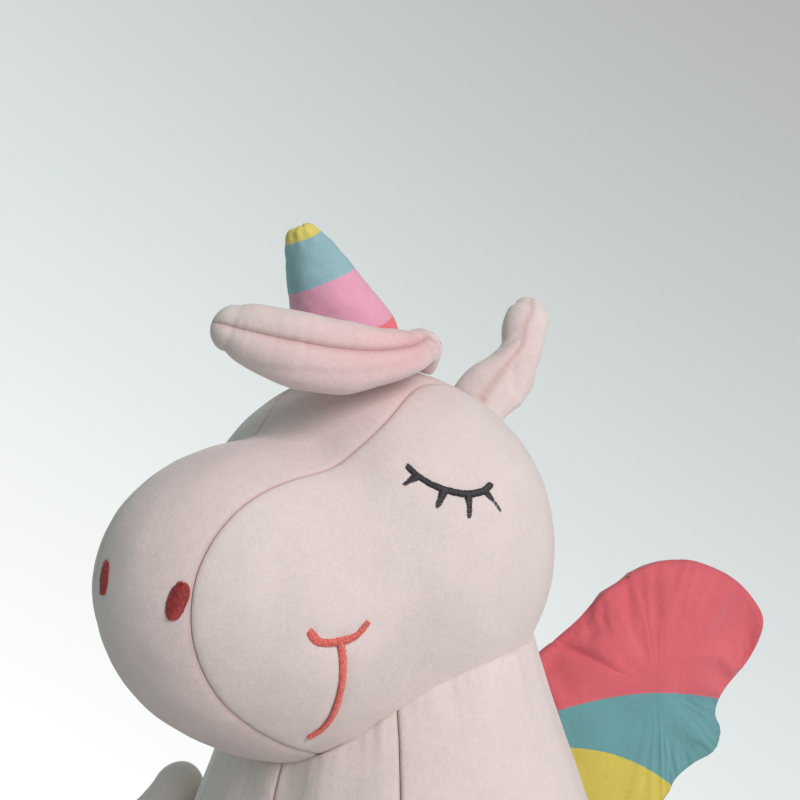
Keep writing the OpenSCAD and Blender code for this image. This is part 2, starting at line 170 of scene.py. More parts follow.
def plush(name, stripes, patch=0.05, sheen=0.35, pink_shade=None, rough=0.92):
    """Short dense pile: stripes is one colour, or pairs (where the band attribute passes, colour)."""
    material, nodes, links = new_material(name)
    shader = nodes["Principled BSDF"]
    shader.inputs["Roughness"].default_value = rough
    shader.inputs["Sheen Weight"].default_value = sheen
    shader.inputs["Sheen Roughness"].default_value = 0.45
    shader.inputs["Specular IOR Level"].default_value = 0.15
    place = nodes.new("ShaderNodeTexCoord").outputs["Object"]

    def cloud(scale, detail, roughness=0.5, stretch=None):
        source = place
        if stretch:
            mapping = nodes.new("ShaderNodeMapping")
            mapping.inputs["Scale"].default_value = stretch
            links.new(place, mapping.inputs["Vector"])
            source = mapping.outputs["Vector"]
        field = nodes.new("ShaderNodeTexNoise")
        field.inputs["Scale"].default_value = scale
        field.inputs["Detail"].default_value = detail
        field.inputs["Roughness"].default_value = roughness
        links.new(source, field.inputs["Vector"])
        return field.outputs["Fac"]

    def mix(kind, factor, a, b):
        node = nodes.new("ShaderNodeMix")
        node.data_type = "RGBA"
        node.blend_type = kind
        for socket, value in ((node.inputs["Factor"], factor), (node.inputs["A"], a), (node.inputs["B"], b)):
            if isinstance(value, bpy.types.NodeSocket):
                links.new(value, socket)
            else:
                socket.default_value = value
        return node.outputs["Result"]

    def ramp(source, low, high, first, last):
        node = nodes.new("ShaderNodeMapRange")
        node.inputs["From Min"].default_value = low
        node.inputs["From Max"].default_value = high
        node.inputs["To Min"].default_value = first
        node.inputs["To Max"].default_value = last
        links.new(source, node.inputs["Value"])
        return node.outputs["Result"]

    def attribute(key):
        node = nodes.new("ShaderNodeAttribute")
        node.attribute_name = key
        return node.outputs["Fac"]

    if isinstance(stripes, list):
        bands = nodes.new("ShaderNodeValToRGB")
        bands.color_ramp.interpolation = "CONSTANT"
        elements = bands.color_ramp.elements
        elements[0].position, elements[0].color = 0.0, (*stripes[0][1], 1)
        elements[1].position, elements[1].color = stripes[1][0], (*stripes[1][1], 1)
        for position, tint in stripes[2:]:
            elements.new(position).color = (*tint, 1)
        wobble = nodes.new("ShaderNodeMath")
        wobble.operation = "MULTIPLY_ADD"
        wobble.inputs[1].default_value = 0.012
        links.new(cloud(900, 2), wobble.inputs[0])
        links.new(attribute("band"), wobble.inputs[2])
        links.new(wobble.outputs[0], bands.inputs["Fac"])
        colour = bands.outputs["Color"]
    else:
        colour = mix("MIX", 0.0, (*stripes, 1), (*stripes, 1))
    # painted shade: a mask mixes in pink where light bounced in the pink cloth tints the shade, below the ear
    # and along the ear's face
    if pink_shade:
        colour = mix("MIX", attribute("pink_shade"), colour, (*pink_shade, 1))
    # the pile lies in slightly different ways over the cloth, then the fibres themselves
    patchy = (1 - patch, 1 - patch, 1 - patch * 0.9, 1)
    colour = mix("MULTIPLY", ramp(cloud(38, 3), 0.35, 0.65, 0.0, 1.0), colour, patchy)
    colour = mix("MULTIPLY", ramp(cloud(420, 4, 0.6), 0.4, 0.7, 0.0, 0.75), colour, (0.93, 0.93, 0.93, 1))
    colour = mix("MULTIPLY", ramp(cloud(1900, 2, 0.6), 0.35, 0.7, 0.0, 0.8), colour, (0.9, 0.9, 0.9, 1))
    # painted shade: the cloth is darkened down in a seam's crease, where shade falls
    colour = mix("MULTIPLY", attribute("seam"), colour, (0.84, 0.76, 0.74, 1))
    links.new(colour, shader.inputs["Base Color"])
    height = nodes.new("ShaderNodeMath")
    height.operation = "ADD"
    links.new(cloud(1500, 3, 0.65), height.inputs[0])
    links.new(cloud(330, 3, 0.6), height.inputs[1])
    bump = nodes.new("ShaderNodeBump")
    bump.inputs["Strength"].default_value = 0.35
    bump.inputs["Distance"].default_value = 0.0005
    links.new(height.outputs[0], bump.inputs["Height"])
    links.new(bump.outputs["Normal"], shader.inputs["Normal"])
    return material


def thread_material(name, tint, dark, shine):
    """Satin thread: twisted fibres with a soft gloss."""
    material, nodes, links = new_material(name)
    shader = nodes["Principled BSDF"]
    shader.inputs["Roughness"].default_value = 0.42
    shader.inputs["Sheen Weight"].default_value = 0.2
    shader.inputs["Specular IOR Level"].default_value = shine
    place = nodes.new("ShaderNodeTexCoord").outputs["Object"]
    field = nodes.new("ShaderNodeTexNoise")
    field.inputs["Scale"].default_value = 1400
    field.inputs["Detail"].default_value = 3
    links.new(place, field.inputs["Vector"])
    ramp = nodes.new("ShaderNodeValToRGB")
    ramp.color_ramp.elements[0].position = 0.35
    ramp.color_ramp.elements[0].color = (*dark, 1)
    ramp.color_ramp.elements[1].position = 0.62
    ramp.color_ramp.elements[1].color = (*tint, 1)
    links.new(field.outputs["Fac"], ramp.inputs["Fac"])
    links.new(ramp.outputs["Color"], shader.inputs["Base Color"])
    bump = nodes.new("ShaderNodeBump")
    bump.inputs["Strength"].default_value = 0.3
    bump.inputs["Distance"].default_value = 0.0002
    links.new(field.outputs["Fac"], bump.inputs["Height"])
    links.new(bump.outputs["Normal"], shader.inputs["Normal"])
    return material


PALE = (0.80, 0.70, 0.665)
# the pink of the painted shade that light bounced in the pink cloth gives
PINK_SHADE_TINT = (0.84, 0.52, 0.53)
TEAL = (0.16, 0.39, 0.41)
YELLOW = (0.72, 0.60, 0.11)
CORAL = (0.76, 0.15, 0.18)
HORN_TEAL = (0.33, 0.54, 0.58)
HORN_PINK = (0.86, 0.40, 0.54)
HORN_CORAL = (0.90, 0.20, 0.22)
HORN_YELLOW = (0.80, 0.68, 0.17)
pale_plush = plush("pale_plush", PALE, pink_shade=PINK_SHADE_TINT)
pink_plush = plush("pink_plush", (0.79, 0.665, 0.64), pink_shade=PINK_SHADE_TINT)
horn_plush = plush("horn_plush", [(0.0, HORN_CORAL), (0.27, HORN_PINK), (0.65, HORN_TEAL),
                                  (0.95, HORN_YELLOW)], patch=0.10, rough=0.85)
wing_plush = plush("wing_plush", [(0.0, YELLOW), (0.35, TEAL), (0.65, CORAL)], patch=0.10, rough=0.85)
tail_plush = plush("tail_plush", [(0.0, CORAL), (0.36, HORN_TEAL), (0.7, HORN_YELLOW)], patch=0.1, rough=0.85)
coral_plush = plush("coral_plush", CORAL, patch=0.10, rough=0.85)
black_thread = thread_material("black_thread", (0.03, 0.025, 0.03), (0.012, 0.01, 0.012), 0.5)
coral_thread = thread_material("coral_thread", (0.86, 0.20, 0.15), (0.60, 0.08, 0.07), 0.6)
red_thread = thread_material("red_thread", (0.42, 0.035, 0.03), (0.20, 0.012, 0.012), 0.5)

# ---------- the head's surface ----------
HEAD_C = np.array([0.0, -8.0, 258.0])
HEAD_LIFT, HEAD_LEAN = 12.8, 12.7
STAR = np.array([0.0, -30.0, 15.0])
BALL = np.array([86.0, 86.0, 84.0])
MUZZLE_C = np.array([0.0, -49.0, -38.0])
MUZZLE = np.array([57.0, 89.0, 63.0])
BLEND = 7
NECK_R = 44
NECK_C = np.array([0.0, 0.0, 196.0])
ROOM = 0.4


def turn_x(a):
    return np.array([[1, 0, 0], [0, cosd(a), -sind(a)], [0, sind(a), cosd(a)]])


def turn_y(a):
    return np.array([[cosd(a), 0, sind(a)], [0, 1, 0], [-sind(a), 0, cosd(a)]])


HEAD_TURN = turn_y(HEAD_LEAN) @ turn_x(-HEAD_LIFT)


def placed(p):
    """From the head's own frame to the row frame."""
    return p @ HEAD_TURN.T + HEAD_C


def head_frame(v):
    return v @ HEAD_TURN


NECK_L = head_frame(NECK_C - HEAD_C)


def out_of(d, c, a):
    p, q = d / a, c / a
    k = (p * p).sum(-1)
    b = (p * q).sum(-1)
    return (b + np.sqrt(np.maximum(b * b - k * ((q * q).sum(-1) - 1), 0))) / k


def head_r(d):
    return (out_of(d, -STAR, BALL) ** BLEND + out_of(d, MUZZLE_C - STAR, MUZZLE) ** BLEND) ** (1 / BLEND)


def way(t, l):
    t, l = np.broadcast_arrays(t, l)
    return np.stack([sind(l), -cosd(l) * cosd(t), cosd(l) * sind(t)], -1)


def on_head(d, lift=0.0):
    return STAR + (head_r(d) + lift)[..., None] * d


def snap(p, lift=0.0):
    return on_head(unit(np.asarray(p, float) - STAR), np.asarray(lift, float))


def above(p, lift):
    d = unit(p - STAR)
    return STAR + np.maximum(length(p - STAR), head_r(d) + lift)[..., None] * d


def in_opening(t, l):
    return length(on_head(way(t, l)) - NECK_L) < NECK_R


def near_half(t):
    return 32 + 4 * cosd(3 * (t - 35))


def far_half(t):
    return 31 - 14 * np.maximum(cosd(t + 15), 0) ** 2


def seam_lean(t, half):
    l = np.zeros_like(t)
    for _ in range(6):
        l = asind(half / head_r(way(t, l)))
    return l


def halved(lo, hi, test, steps=12):
    """Where test(x) turns from true at lo to false at hi."""
    for _ in range(steps):
        mid = (lo + hi) / 2
        yes = test(mid)
        lo, hi = np.where(yes, mid, lo), np.where(yes, hi, mid)
    return (lo + hi) / 2


EYE_ARC = [[52, -64, 25], [56, -61, 22.5], [61, -57, 21], [66, -51, 21], [70, -44, 22.5], [73, -37, 26.5],
           [74, -33, 31]]
EYE_LASHES = [[[56.5, -61.5, 22], [54, -65, 17]], [[65, -52.5, 21], [65, -55, 12.5]],
              [[70.5, -43.5, 22.5], [73, -43, 13.5]], [[73, -36.5, 27], [77, -29, 21]]]
MOUTH_TICK = [[51, -88, -45], [53, -83, -48], [56, -76, -46.5], [58, -70, -42.5], [59, -67, -36]]
MOUTH_LINE = [[56.5, -75.5, -46.5], [56, -69.5, -53.5], [54.5, -64, -62], [50, -58, -71], [46, -56, -79],
              [42, -57, -84]]
SIDES = {"left": 1, "right": -1}
FLIP = np.array([-1.0, 1.0, 1.0])


def side_line(path, s):
    return snap(np.array(path, float) * (FLIP if s < 0 else 1))


# grooves that the sewing pulls into the head: line, depth, half width
GROOVES = []
for side_sign in SIDES.values():
    GROOVES.append((side_line(MOUTH_LINE, side_sign), 1.3, 3.6))
    GROOVES.append((side_line(MOUTH_TICK, side_sign), 0.7, 3.2))
    GROOVES.append((side_line(EYE_ARC, side_sign), 0.5, 3.0))


def seam_dip(dist, along, seed):
    """How far the cloth drops towards a seam, with the puckers that the stitches make beside it."""
    puckers = 0.22 * np.exp(-dist / 5) * (1 - np.exp(-dist / 1.2)) * ripple(along, 6.5, seed)
    return 0.55 * np.exp(-(dist / 1.2) ** 1.2) + 0.45 * np.exp(-dist / 7) - puckers


def head_cloth(t, l):
    """Points of the sewn and stuffed head in these directions, and how deep in a seam each lies."""
    d = way(t, l)
    r = head_r(d)
    p = STAR + r[..., None] * d
    tt = np.mod(t + 90, 360) - 90
    near = np.abs(seam_lean(tt, near_half(tt)) - l) * r * np.pi / 180
    far = np.abs(seam_lean(tt, far_half(tt)) + l) * r * np.pi / 180
    along = np.radians(tt) * r
    lift = 0.55 - seam_dip(near, along, 3) - seam_dip(far, along, 4)
    lift = lift + 0.55 * lumps(p, 52, 11) + 0.16 * lumps(p, 17, 12)
    for line, depth, wide in GROOVES:
        lift = lift - depth * np.exp(-(near_line(p, line) / wide) ** 2)
    rim = length(p - NECK_L) - NECK_R
    lift = lift - 1.6 * np.exp(-np.maximum(rim, 0) / 4) + 0.5 * np.exp(-np.maximum(rim, 0) / 11) * ripple(
        np.degrees(np.arctan2(p[..., 1] - NECK_L[1], p[..., 0] - NECK_L[0])) * 0.8, 11, 5)
    # deep: how far down a seam's crease each point lies, where the plush material paints shade
    deep = np.exp(-(np.minimum(near, far) / 0.9) ** 2)
    return STAR + (r + lift)[..., None] * d, deep, d


def turned_in(rows, deep, ways, first, last, depth=2.6):
    """Adds a row of cloth folded inwards along the first and/or last row."""
    if first:
        rows = np.concatenate([(rows[0] - depth * ways[0])[None], rows])
        deep = np.concatenate([deep[:1], deep])
        ways = np.concatenate([ways[:1], ways])
    if last:
        rows = np.concatenate([rows, (rows[-1] - depth * ways[-1])[None]])
        deep = np.concatenate([deep, deep[-1:]])
        ways = np.concatenate([ways, ways[-1:]])
    return rows, deep, ways


def head_side(side):
    s = SIDES[side]
    around, out = 300, 90
    t = s * np.arange(around) * 360 / around
    tt = np.mod(t + 90, 360) - 90
    seam = seam_lean(tt, near_half(tt) if s > 0 else far_half(tt)) + 0.12
    leave = halved(seam, np.full_like(seam, 80), lambda m: in_opening(t, s * m))
    edge = np.where(in_opening(t, s * seam), leave, seam)
    u = (np.arange(out + 1) / out)[:, None] ** 1.5
    lean = edge[None] + (89.4 - edge[None]) * u
    rows, deep, ways = head_cloth(np.broadcast_to(t, lean.shape), s * lean)
    rows, deep, ways = turned_in(rows, deep, ways, True, False)
    m, n, _ = rows.shape
    points = np.concatenate([rows.reshape(-1, 3), rows[-1].mean(0)[None]])
    faces = grid_faces(m, n, True) + [(m * n, (m - 1) * n + c, (m - 1) * n + (c + 1) % n) for c in range(n)]
    seams = np.append(deep.ravel(), 0)
    piece = make(f"head_side_{side}_plush", placed(points), faces,
                 {"seam": seams, "pink_shade": under_ear_shade(points)}, pale_plush, placed(STAR))
    fix_fan(piece)
    return piece


def fix_fan(piece):
    """Turns the closing fan the same way round as the rest."""
    import bmesh
    work = bmesh.new()
    work.from_mesh(piece.data)
    bmesh.ops.recalc_face_normals(work, faces=work.faces)
    work.to_mesh(piece.data)
    work.free()
    centre = np.array([v.co for v in piece.data.vertices]).mean(0)
    total = sum(f.area * float(np.dot(f.normal, np.array(f.center) - centre)) for f in piece.data.polygons)
    if total < 0:
        piece.data.flip_normals()
    piece.data.update()


# painted shade below the folded right ear, tinted pink: strength, reach and centre
UNDER_EAR_SHADE, UNDER_EAR_SHADE_R = 0.275, 34
UNDER_EAR_SHADE_C = np.array([14.0, -70.0, 62.0])


def under_ear_shade(p):
    """Painted shade on the forehead below the ear, pink as light bounced in the pink cloth tints it."""
    return UNDER_EAR_SHADE * np.exp(-(length(p - UNDER_EAR_SHADE_C) / UNDER_EAR_SHADE_R) ** 2)


def head_gusset():
    rows_n, cols_n = 340, 56
    f = np.linspace(0, 1, cols_n + 1)
    f = 0.5 - 0.5 * np.cos(np.pi * f) * (0.55 + 0.45 * np.abs(np.cos(np.pi * f)))

    def edge(t):
        a = -seam_lean(t, far_half(t)) + 0.12
        b = seam_lean(t, near_half(t)) - 0.12
        return a + (b - a) * f

    low = edge(np.full(cols_n + 1, -90.0))
    high = edge(np.full(cols_n + 1, 190.0))
    t0 = halved(np.full(cols_n + 1, -120.0), np.full(cols_n + 1, -50.0), lambda m: in_opening(m, low))
    t1 = halved(np.full(cols_n + 1, 240.0), np.full(cols_n + 1, 170.0), lambda m: in_opening(m, high))
    v = np.linspace(0, 1, rows_n + 1)[:, None]
    t = t0[None] + (t1 - t0)[None] * v
    l = np.stack([edge(row) for row in t])
    rows, deep, ways = head_cloth(t, l)
    rows, deep, ways = turned_in(rows, deep, ways, True, True)
    cols = [np.swapaxes(a, 0, 1) for a in (rows, deep, ways)]
    rows, deep, ways = turned_in(*cols, True, True)
    m, n, _ = rows.shape
    return make("head_gusset_plush", placed(rows), grid_faces(m, n),
                {"seam": deep, "pink_shade": under_ear_shade(rows)}, pink_plush, placed(STAR))


# ---------- embroidery ----------
def tube(path, radius, sides=6):
    """Points and faces of a round thread along a path, its ends closed."""
    path = np.asarray(path, float)
    go = unit(np.gradient(path, axis=0))
    side = unit(np.cross(go, unit(go[0] + np.array([0.31, 0.17, 0.9]))))
    up = np.cross(side, go)
    a = np.linspace(0, 2 * np.pi, sides, endpoint=False)
    rows = path[:, None] + radius * (np.cos(a)[None, :, None] * side[:, None]
                                     + np.sin(a)[None, :, None] * up[:, None])
    return capped(rows)


def joined(parts):
    points, faces, start = [], [], 0
    for p, f in parts:
        points.append(p)
        faces += [tuple(i + start for i in face) for face in f]
        start += len(p)
    return np.concatenate(points), faces


def satin(path, width, rng, radius=0.27, step=0.42, slant=0.35, ends=0.85):
    """Threads laid side by side across a stroke, over a low raised bed."""
    path = snap(path)
    dense = snap(smooth_rows(path, 200))
    run = np.concatenate([[0], np.cumsum(length(np.diff(dense, axis=0)))])
    count = max(4, int(run[-1] / step))
    parts = []
    at = np.linspace(0, run[-1], count)
    centre = np.stack([np.interp(at, run, dense[:, k]) for k in range(3)], -1)
    go = unit(np.gradient(centre, axis=0))
    normal = unit(centre - STAR)
    across = unit(np.cross(go, normal))
    share = np.minimum(1, ends + (1 - ends) * np.minimum(at, run[-1] - at) / 2.2)
    k = np.linspace(-1, 1, 7)
    for i in range(count):
        half = width / 2 * share[i] * (1 + rng.uniform(-0.13, 0.13))
        shift = rng.uniform(-0.12, 0.12)
        line = centre[i] + k[:, None] * half * across[i] + (slant * k * half + shift)[:, None] * go[i]
        lift = 0.15 + (0.62 + rng.uniform(-0.08, 0.08)) * (1 - np.abs(k) ** 2.4)
        parts.append(tube(snap(line, lift - 0.1), radius))
    return parts


def bed(path, width):
    path = snap(smooth_rows(snap(path), 24))
    go = unit(np.gradient(path, axis=0))
    normal = unit(path - STAR)
    across = unit(np.cross(go, normal))
    k = np.array([-1, -0.6, 0, 0.6, 1.0, 0.9, -0.9])
    lift = np.array([-0.4, 0.25, 0.42, 0.25, -0.4, -1.2, -1.2])
    rows = np.stack([snap(path[i] + (k * width * 0.42)[:, None] * across[i], lift) for i in range(len(path))])
    return capped(rows)


def stitched(name, strokes, material, seed, node):
    rng = np.random.RandomState(seed)
    parts = []
    for path, width in strokes:
        parts.append(bed(path, width))
        parts += satin(path, width, rng)
    points, faces = joined(parts)
    piece = make(name, placed(points), faces, None, material)
    fix_fan(piece)
    return dress(piece, "head", [node])


def nostril(name, centre, long_way, a, b, node, seed):
    rng = np.random.RandomState(seed)
    centre = snap(centre)
    d = unit(centre - STAR)
    u = np.asarray(long_way, float)
    u = unit(u - (u @ d) * d)
    v = np.cross(d, u)
    parts = []
    rings = []
    turn = np.linspace(0, 2 * np.pi, 32, endpoint=False)
    for k, lift in ((1.0, -0.8), (0.98, 0.1), (0.7, 0.5), (0.25, 0.65)):
        rings.append(snap(centre + k * (a * np.cos(turn)[:, None] * u + b * np.sin(turn)[:, None] * v), lift))
    parts.append(capped(np.stack(rings)))
    for x in np.arange(-a + 0.3, a - 0.2, 0.42):
        half = b * math.sqrt(max(0, 1 - (x / a) ** 2)) + rng.uniform(-0.15, 0.35)
        k = np.linspace(-1, 1, 8)
        line = centre + (x + 0.25 * k * half)[:, None] * u + (k * half)[:, None] * v
        lift = 0.1 + 0.85 * (1 - np.abs(k) ** 2.2) + rng.uniform(-0.06, 0.06)
        parts.append(tube(snap(line, lift), 0.28))
    points, faces = joined(parts)
    piece = make(name, placed(points), faces, None, red_thread)
    fix_fan(piece)
    return dress(piece, "head", [node])


# ---------- horn ----------
HORN_BASE = np.array([-2.3, -48.8, 67.8])
HORN_WAY = unit(np.array([-2.7, -6.81, 6.81]))
HORN_LEN, HORN_R = 70.0, 28.0
HORN_TABLE = np.array([[0, 0.84], [0.25, 0.88], [0.5, 0.71], [0.75, 0.52], [0.92, 0.37], [1, 0.28]])


def look(table, z, column):
    """The CAD's smooth value of a column of a table of stations at z."""
    at, value = table[:, 0], table[:, column]
    last = len(table) - 1
    before = np.maximum(np.arange(last + 1) - 1, 0)
    after = np.minimum(np.arange(last + 1) + 1, last)
    tilt = (value[after] - value[before]) / (at[after] - at[before])
    z = np.asarray(z, float)
    i = np.clip(np.searchsorted(at, z, side="right") - 1, 0, last - 1)
    h = at[i + 1] - at[i]
    u = (z - at[i]) / h
    s = u * u * (3 - 2 * u)
    return value[i] * (1 - s) + value[i + 1] * s + h * (
        tilt[i] * u * (1 - u) ** 2 - tilt[i + 1] * u * u * (1 - u))


def horn():
    around, rise = 128, 96
    u = unit(np.cross(HORN_WAY, [0, 0, 1.0]))
    v = np.cross(HORN_WAY, u)
    turn = np.linspace(0, 2 * np.pi, around, endpoint=False)
    rows, band = [], []
    for s in np.linspace(0, 1, rise + 1):
        radius = look(HORN_TABLE, s, 1) * HORN_R
        tip = max(0, (s - 0.86) / 0.14)
        pleat = 1 - 0.10 * tip ** 1.5 * (0.5 + 0.5 * np.cos(9 * turn + 0.7)) - 0.06 * tip ** 2
        ring = HORN_BASE + HORN_WAY * s * HORN_LEN + radius * pleat[:, None] * (
            np.cos(turn)[:, None] * u + np.sin(turn)[:, None] * v)
        ring = above(ring, 0.5 + 21 * s)
        soft = 0.5 * lumps(ring, 22, 21) + 0.2 * lumps(ring, 8, 22)
        root = -1.3 * np.exp(-s * HORN_LEN / 3.0) + 0.4 * np.exp(-s * HORN_LEN / 9) * ripple(turn * 28, 7, 23)
        seam_at = np.abs(np.mod(turn - 4.1 + np.pi, 2 * np.pi) - np.pi) * radius
        sewn = -0.9 * np.exp(-(seam_at / 1.4) ** 1.3)
        lift = soft * min(1, 12 * s + 0.2) + root + sewn
        ring = ring + lift[:, None] * unit(ring - HORN_BASE - HORN_WAY * s * HORN_LEN)
        rows.append(ring)
        band.append(np.full(around, s) + 0.008 * np.cos(turn * 2 + 1) + 0.004 * lumps(ring, 22, 24))
    # the gathered tip: pleats running in to a small fuzzy middle
    top = HORN_BASE + HORN_WAY * HORN_LEN
    edge = rows[-1] - top
    for share, rise_by in ((0.86, 1.6), (0.66, 2.2), (0.46, 1.9), (0.28, 1.1), (0.12, 0.7)):
        wave = 0.55 * (1 - abs(share - 0.5)) * np.cos(9 * turn + 0.7 + 2 * (1 - share)) + 0.25 * lumps(
            top + edge * share, 3, 25)
        rows.append(top + edge * share + (rise_by + wave)[:, None] * HORN_WAY)
        band.append(np.full(around, 1.02))
    rows = np.stack(rows)
    points, faces = capped(rows)
    band = np.append(np.stack(band).ravel(), [0, 1.02])
    seam = np.zeros(len(points))
    piece = make("horn_plush", placed(points), faces, {"band": np.clip(band, 0, 0.999), "seam": seam},
                 horn_plush)
    fix_fan(piece)
    dress(piece, "head", ["horn_cover", "horn_stuffing"])


# ---------- ears ----------
EAR_FACE = np.array([0.62, -0.78, -0.05])
# for each station: half width above the fold, half thickness, half width below the fold
EARS = {
    "left": dict(
        fold=0.04,
        path=[[30, 11, 80], [30, 12, 90], [31, 18, 104], [31, 25, 117], [28, 29, 130], [26, 34, 141],
              [24, 36, 147]],
        size=[[18, 8, 18], [18.3, 9, 15], [18, 10, 9.5], [13, 9, 9], [13.5, 8.5, 11], [12, 8, 11],
              [9, 6.5, 8]]),
    "right": dict(
        fold=0.2,
        path=[[8, -22, 87], [20, -37.5, 89], [33, -63, 75.2], [31, -79.5, 65.2], [25.7, -94, 58.8],
              [14.8, -109.4, 54.2], [3, -121.5, 52], [-2.3, -127, 51.5]],
        size=[[9, 8, 9], [9, 6.5, 9], [9.5, 6.5, 10.5], [12.5, 9, 13], [14, 10, 17], [14, 11, 16.5],
              [13, 10, 12.5], [10, 8, 9]])}
# folds across an ear, each a list of (station, angle around it), how deep and how wide
EAR_FOLDS = {
    "left": [([(1.2, 40), (2.0, 10), (3.0, 35)], 0.9, 2.4), ([(2.4, -60), (3.2, -20)], 0.7, 2.4)],
    "right": [([(2.0, -37), (3.0, -37), (4.0, -38), (5.0, -47), (6.0, -75)], 0.6, 2.4),
              ([(1.5, -80), (1.6, 0), (1.7, 80)], 2.5, 2.2)]}


def ear(side):
    spec = EARS[side]
    along, around = 120, 120
    path = smooth_rows(spec["path"], along)
    size = smooth_rows(spec["size"], along)
    go = unit(np.gradient(path, axis=0))
    # domes that close the tip, and the root of the ear that lies down
    turns = np.linspace(0, 89, 10)[1:]
    tip = path[-1] + go[-1] * size[-1][1] * sind(turns)[:, None]
    path, size = np.concatenate([path, tip]), np.concatenate([size, size[-1] * cosd(turns)[:, None]])
    go = np.concatenate([go, np.repeat(go[-1:], len(turns), 0)])
    skipped = 0
    if side == "right":
        skipped = len(turns)
        heel = path[0] - go[0] * 0.5 * size[0][1] * sind(turns[::-1])[:, None]
        path = np.concatenate([heel, path])
        size = np.concatenate([size[0] * cosd(turns[::-1])[:, None], size])
        go = np.concatenate([np.repeat(go[:1], skipped, 0), go])
    u = unit(np.cross(go, EAR_FACE))
    f = np.cross(u, go)
    a = np.linspace(0, 360, around + 1)
    half = around // 2
    signed = np.where(a > 180, a - 360, a)
    groove = 1 - spec["fold"] * (np.exp(-(signed / 20) ** 2) + 0.5 * np.exp(-(signed / 5) ** 2))
    groove = groove - 0.07 * np.exp(-((np.abs(signed) - 180) / 5) ** 2)
    wide = np.where(sind(a)[None] < 0, size[:, 2:3], size[:, 0:1])
    thick_way = (size[:, 1:2] * cosd(a)[None])[..., None] * f[:, None]
    wide_way = (wide * sind(a)[None])[..., None] * u[:, None]
    rows = path[:, None] + groove[None, :, None] * (thick_way + wide_way)
    away = unit(rows - path[:, None])
    soft = 0.4 * lumps(rows, 26, 31 + len(side)) + 0.1 * lumps(rows, 8, 32)
    run = np.concatenate([[0], np.cumsum(length(np.diff(path, axis=0)))])
    side_gap = np.minimum(np.abs(signed)[None], 180 - np.abs(signed)[None]) / 180 * np.pi * size[:, 1:2]
    puckers = 0.2 * np.exp(-side_gap / 4) * ripple(np.repeat(run[:, None], around + 1, 1), 5.5, 33)
    fade = np.ones(len(path))
    fade[skipped + along:] = 0.3
    fade[:skipped] = 0.3
    rows = rows + ((soft + puckers) * fade[:, None])[..., None] * away
    per_station = (along - 1) / (len(spec["path"]) - 1)
    for stops, depth, spread in EAR_FOLDS[side]:
        stops = smooth_rows(stops, 40)
        line = [rows[skipped + int(at * per_station), int(round(angle)) % 360 * around // 360]
                for at, angle in stops]
        rows = rows - (depth * np.exp(-(near_line(rows, line) / spread) ** 2))[..., None] * away
    rows = above(rows, 1.3)
    if side == "left":
        # the open root stands on the head
        root = np.clip(1 - run / 9.0, 0, 1)[:, None, None]
        rows = rows * (1 - root) + snap(rows, 0.6) * root
    # deep marks the ear's seams, where the plush material paints shade
    deep = np.exp(-(side_gap / 1.3) ** 2) * 0.9
    # painted shade: the middle of the ear's face is made pinker, as light bounced in the pink cloth tints it;
    # most on the folded right ear
    pink_shade = np.clip(np.cos(np.radians(signed)), 0, 1)[None] * np.clip(
        1 - np.abs(run / run[-1] - 0.42) / 0.55, 0, 1)[:, None] * (1.0 if side == "right" else 0.35)
    for name, first, last, cloth, slot in (("front", half, around, pink_plush, "pink_plush"),
                                           ("back", 0, half, pale_plush, "pale_plush")):
        if side == "left":
            first, last = first - around // 4, last - around // 4
        pick = np.arange(first, last + 1) % around
        part = rows[:, pick]
        ways = away[:, pick]
        seam = deep[:, pick] * np.ones(part.shape[:2])
        red = np.broadcast_to(pink_shade[:, pick], part.shape[:2])
        part = np.swapaxes(part, 0, 1)
        part, seam, _ = turned_in(part, np.swapaxes(seam, 0, 1), np.swapaxes(ways, 0, 1), True, True, 1.6)
        red = np.swapaxes(red, 0, 1)
        red = np.concatenate([red[:1], red, red[-1:]])
        m, n, _ = part.shape
        piece = make(f"ear_{side}_{name}_plush", placed(part), grid_faces(m, n), {"seam": seam, "pink_shade": red},
                     cloth, placed(path[skipped + along // 2]))
        nodes = [f"ear_{side}_{name}"] + ([f"ear_{side}_padding"] if name == "front" else [])
        dress(piece, f"ear_{side}", nodes)


# ---------- body ----------
# stations of height, half width, reach to the front, reach to the back
TORSO = np.array([[0, 80, 76, 78], [8, 96, 90, 93], [30, 108, 100, 103], [60, 112, 102, 106],
                  [95, 107, 97, 103], [131, 96, 84, 96], [158, 86, 74, 88], [180, 79, 68, 81],
                  [205, 73, 66, 74], [230, 70, 64, 71.0]])
BELLY_HALF = 37
TORSO_SEAMS = (-90 - BELLY_HALF, -90, -90 + BELLY_HALF, 90)


def torso_at(z, a, t=0.0):
    z, a = np.broadcast_arrays(z, a)
    x = look(TORSO, z, 1) - t
    y = np.where(sind(a) < 0, look(TORSO, z, 2), look(TORSO, z, 3)) - t
    return np.stack([x * cosd(a), y * sind(a), z], -1)


def meets(p):
    e = head_frame(p - HEAD_C) - STAR
    return length(e) < head_r(unit(e)) + ROOM


